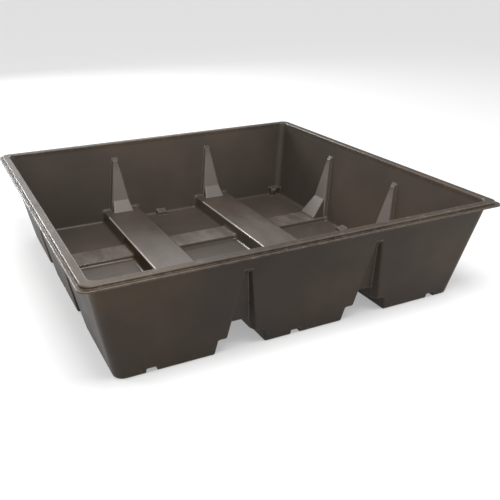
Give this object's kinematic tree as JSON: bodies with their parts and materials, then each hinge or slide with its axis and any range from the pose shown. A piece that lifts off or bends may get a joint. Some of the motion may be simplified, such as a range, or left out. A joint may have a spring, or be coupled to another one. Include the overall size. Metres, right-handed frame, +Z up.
{
  "type": "spill containment pallet",
  "caption": "Square nestable spill pallet sump tub without its deck: drafted walls, fork tunnels through the base, tapered wall ribs, stepped rim and a screwed corner drain plug",
  "frame": {"origin": "middle of the footprint, on the floor the feet stand on", "axes": "+Z up; the fork tunnels run along Y; the front faces -Y; the drain faces +Y at the +X corner"},
  "size_m": [1.308, 1.308, 0.327],
  "materials": {
    "tub_plastic": "satin black polyethylene",
    "insert_brass": "satin",
    "seal_rubber": "matte",
    "plug_plastic": "satin"
  },
  "bodies": {
    "tub": {"sump_tub": "tub_plastic", "drain_insert": "insert_brass"},
    "seal": {"drain_o_ring": "seal_rubber"},
    "plug": {"drain_plug": "plug_plastic"}
  },
  "joints": [
    {"name": "plug_travel", "type": "slide", "parent": "tub", "child": "seal", "axis": [0, 1, 0], "range_m": [0, 0.014]},
    {"name": "plug_turn", "type": "hinge", "parent": "seal", "child": "plug", "pos_m": [0.542, 0.556, 0.02], "axis": [0, 1, 0], "range_deg": [0, 3600]}
  ],
  "couplings": [
    {"joint": "plug_turn", "follows": "plug_travel", "rad_per_m": 4456.2}
  ]
}
